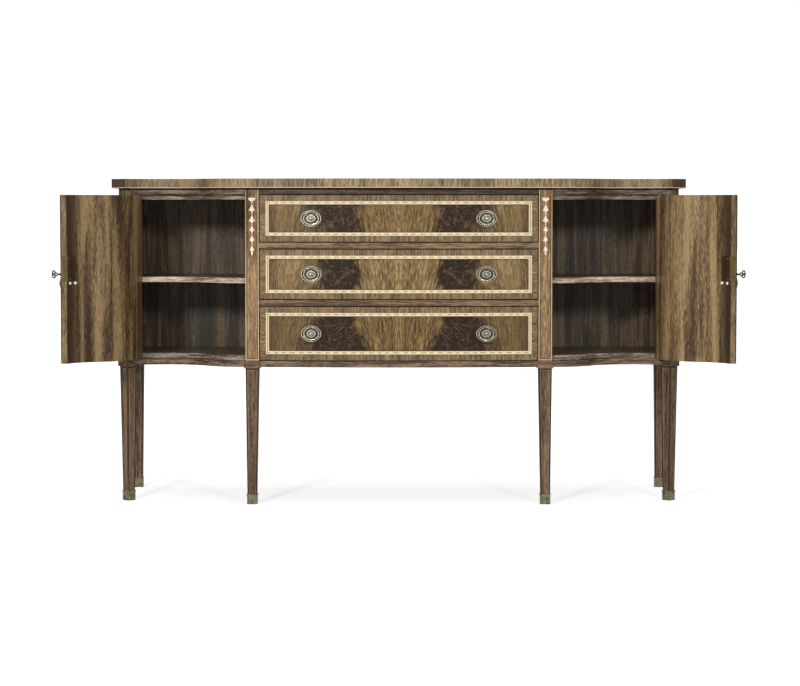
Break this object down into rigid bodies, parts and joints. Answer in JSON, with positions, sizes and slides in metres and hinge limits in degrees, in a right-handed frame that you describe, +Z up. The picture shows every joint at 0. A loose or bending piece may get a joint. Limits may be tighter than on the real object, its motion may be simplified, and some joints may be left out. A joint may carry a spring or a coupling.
{
  "type": "breakfront sideboard",
  "caption": "Breakfront sideboard on tapered legs, with a bowed bank of drawers between two serpentine cupboard doors, inlaid fronts, oval ring pulls, locks and keys.",
  "frame": {"origin": "on the floor, under the middle of the width and of the depth of the case", "axes": "+X along the front to the viewer's right, +Y from the front to the back, +Z up"},
  "size_m": [1.9596, 0.6454, 0.942],
  "materials": {
    "mahogany_top": "crossbanded mahogany, satin lacquer",
    "mahogany_case": "mahogany, satin lacquer",
    "mahogany_doors": "ribbon-striped mahogany, satin lacquer",
    "mahogany_drawer_fronts": "crotch-figured mahogany with inlaid banding, satin lacquer",
    "mahogany_inside": "striped mahogany, matt",
    "drawer_lining": "plain hardwood, matt",
    "antique_brass": "antiqued",
    "antique_silvered_brass": "antiqued, rubbed bright on the edges",
    "lock_brass": "dull"
  },
  "bodies": {
    "case": {"back_panel": "mahogany_inside", "bay_ceiling_left": "mahogany_inside", "bay_ceiling_right": "mahogany_inside", "bay_floor_left": "mahogany_inside", "bay_floor_right": "mahogany_inside", "bottom_rail_centre": "mahogany_case", "bottom_rail_left": "mahogany_case", "bottom_rail_right": "mahogany_case", "case_hinge_leaves": "lock_brass", "corner_leg_left": "mahogany_case", "corner_leg_right": "mahogany_case", "drawer_divider_lower": "mahogany_case", "drawer_divider_upper": "mahogany_case", "drawer_runners": "drawer_lining", "end_panel_left": "mahogany_case", "end_panel_right": "mahogany_case", "ferrules": "antique_brass", "frieze_rail_centre": "mahogany_case", "frieze_rail_left": "mahogany_case", "frieze_rail_right": "mahogany_case", "partition_left": "mahogany_inside", "partition_right": "mahogany_inside", "rear_leg_left": "mahogany_case", "rear_leg_right": "mahogany_case", "shelf_left": "mahogany_inside", "shelf_pins": "lock_brass", "shelf_right": "mahogany_inside", "stile_leg_left": "mahogany_case", "stile_leg_right": "mahogany_case", "strike_plates": "lock_brass", "top": "mahogany_top"},
    "door_right": {"door_right_panel": "mahogany_doors", "door_right_hinge_leaves": "lock_brass", "door_right_lock": "lock_brass", "door_right_pull_plate": "antique_silvered_brass"},
    "door_right_bolt": {"door_right_lock_bolt": "lock_brass"},
    "door_right_key_body": {"door_right_key": "antique_silvered_brass"},
    "door_right_ring_body": {"door_right_ring": "antique_silvered_brass"},
    "door_left": {"door_left_panel": "mahogany_doors", "door_left_hinge_leaves": "lock_brass", "door_left_lock": "lock_brass", "door_left_pull_plate": "antique_silvered_brass"},
    "door_left_bolt": {"door_left_lock_bolt": "lock_brass"},
    "door_left_key_body": {"door_left_key": "antique_silvered_brass"},
    "door_left_ring_body": {"door_left_ring": "antique_silvered_brass"},
    "drawer_top": {"drawer_top_front": "mahogany_drawer_fronts", "drawer_top_box": "drawer_lining", "drawer_top_pull_plates": "antique_silvered_brass"},
    "drawer_top_ring_left_body": {"drawer_top_ring_left": "antique_silvered_brass"},
    "drawer_top_ring_right_body": {"drawer_top_ring_right": "antique_silvered_brass"},
    "drawer_middle": {"drawer_middle_front": "mahogany_drawer_fronts", "drawer_middle_box": "drawer_lining", "drawer_middle_pull_plates": "antique_silvered_brass"},
    "drawer_middle_ring_left_body": {"drawer_middle_ring_left": "antique_silvered_brass"},
    "drawer_middle_ring_right_body": {"drawer_middle_ring_right": "antique_silvered_brass"},
    "drawer_bottom": {"drawer_bottom_front": "mahogany_drawer_fronts", "drawer_bottom_box": "drawer_lining", "drawer_bottom_pull_plates": "antique_silvered_brass"},
    "drawer_bottom_ring_left_body": {"drawer_bottom_ring_left": "antique_silvered_brass"},
    "drawer_bottom_ring_right_body": {"drawer_bottom_ring_right": "antique_silvered_brass"}
  },
  "joints": [
    {"name": "door_right_hinge", "type": "hinge", "parent": "case", "child": "door_right", "pos_m": [0.76315, -0.12581, 0.657], "axis": [0, 0, 1], "range_deg": [-105, 25]},
    {"name": "door_right_key_turn", "type": "hinge", "parent": "door_right", "child": "door_right_key_body", "pos_m": [0.93453, -0.39374, 0.671], "axis": [-0.9659, -0.2588, 0], "range_deg": [0, 90]},
    {"name": "door_right_bolt_slide", "type": "slide", "parent": "door_right", "child": "door_right_bolt", "axis": [0.2588, -0.9659, 0], "range_m": [0, 0.008]},
    {"name": "door_right_ring_swing", "type": "hinge", "parent": "door_right", "child": "door_right_ring_body", "pos_m": [0.94183, -0.37326, 0.6645], "axis": [0.4845, -0.8748, 0], "range_deg": [0, 60]},
    {"name": "door_left_hinge", "type": "hinge", "parent": "case", "child": "door_left", "pos_m": [-0.76315, -0.12581, 0.657], "axis": [0, 0, -1], "range_deg": [-105, 25]},
    {"name": "door_left_key_turn", "type": "hinge", "parent": "door_left", "child": "door_left_key_body", "pos_m": [-0.93453, -0.39374, 0.671], "axis": [-0.9659, 0.2588, 0], "range_deg": [0, 90]},
    {"name": "door_left_bolt_slide", "type": "slide", "parent": "door_left", "child": "door_left_bolt", "axis": [-0.2588, -0.9659, 0], "range_m": [0, 0.008]},
    {"name": "door_left_ring_swing", "type": "hinge", "parent": "door_left", "child": "door_left_ring_body", "pos_m": [-0.94183, -0.37326, 0.6645], "axis": [0.4845, 0.8748, 0], "range_deg": [0, 60]},
    {"name": "drawer_top_slide", "type": "slide", "parent": "case", "child": "drawer_top", "axis": [0, -1, 0], "range_m": [0, 0.33]},
    {"name": "drawer_top_ring_left_swing", "type": "hinge", "parent": "drawer_top", "child": "drawer_top_ring_left_body", "pos_m": [-0.25229, -0.25394, 0.84608], "axis": [-0.997, 0.0773, 0], "range_deg": [0, 80]},
    {"name": "drawer_top_ring_right_swing", "type": "hinge", "parent": "drawer_top", "child": "drawer_top_ring_right_body", "pos_m": [0.25229, -0.25394, 0.84608], "axis": [-0.997, -0.0773, 0], "range_deg": [0, 80]},
    {"name": "drawer_middle_slide", "type": "slide", "parent": "case", "child": "drawer_middle", "axis": [0, -1, 0], "range_m": [0, 0.33]},
    {"name": "drawer_middle_ring_left_swing", "type": "hinge", "parent": "drawer_middle", "child": "drawer_middle_ring_left_body", "pos_m": [-0.25229, -0.25394, 0.68551], "axis": [-0.997, 0.0773, 0], "range_deg": [0, 80]},
    {"name": "drawer_middle_ring_right_swing", "type": "hinge", "parent": "drawer_middle", "child": "drawer_middle_ring_right_body", "pos_m": [0.25229, -0.25394, 0.68551], "axis": [-0.997, -0.0773, 0], "range_deg": [0, 80]},
    {"name": "drawer_bottom_slide", "type": "slide", "parent": "case", "child": "drawer_bottom", "axis": [0, -1, 0], "range_m": [0, 0.33]},
    {"name": "drawer_bottom_ring_left_swing", "type": "hinge", "parent": "drawer_bottom", "child": "drawer_bottom_ring_left_body", "pos_m": [-0.25229, -0.25394, 0.51493], "axis": [-0.997, 0.0773, 0], "range_deg": [0, 80]},
    {"name": "drawer_bottom_ring_right_swing", "type": "hinge", "parent": "drawer_bottom", "child": "drawer_bottom_ring_right_body", "pos_m": [0.25229, -0.25394, 0.51493], "axis": [-0.997, -0.0773, 0], "range_deg": [0, 80]}
  ],
  "couplings": [
    {"joint": "door_right_bolt_slide", "follows": "door_right_key_turn", "m_per_rad": 0.005093},
    {"joint": "door_left_bolt_slide", "follows": "door_left_key_turn", "m_per_rad": 0.005093}
  ]
}
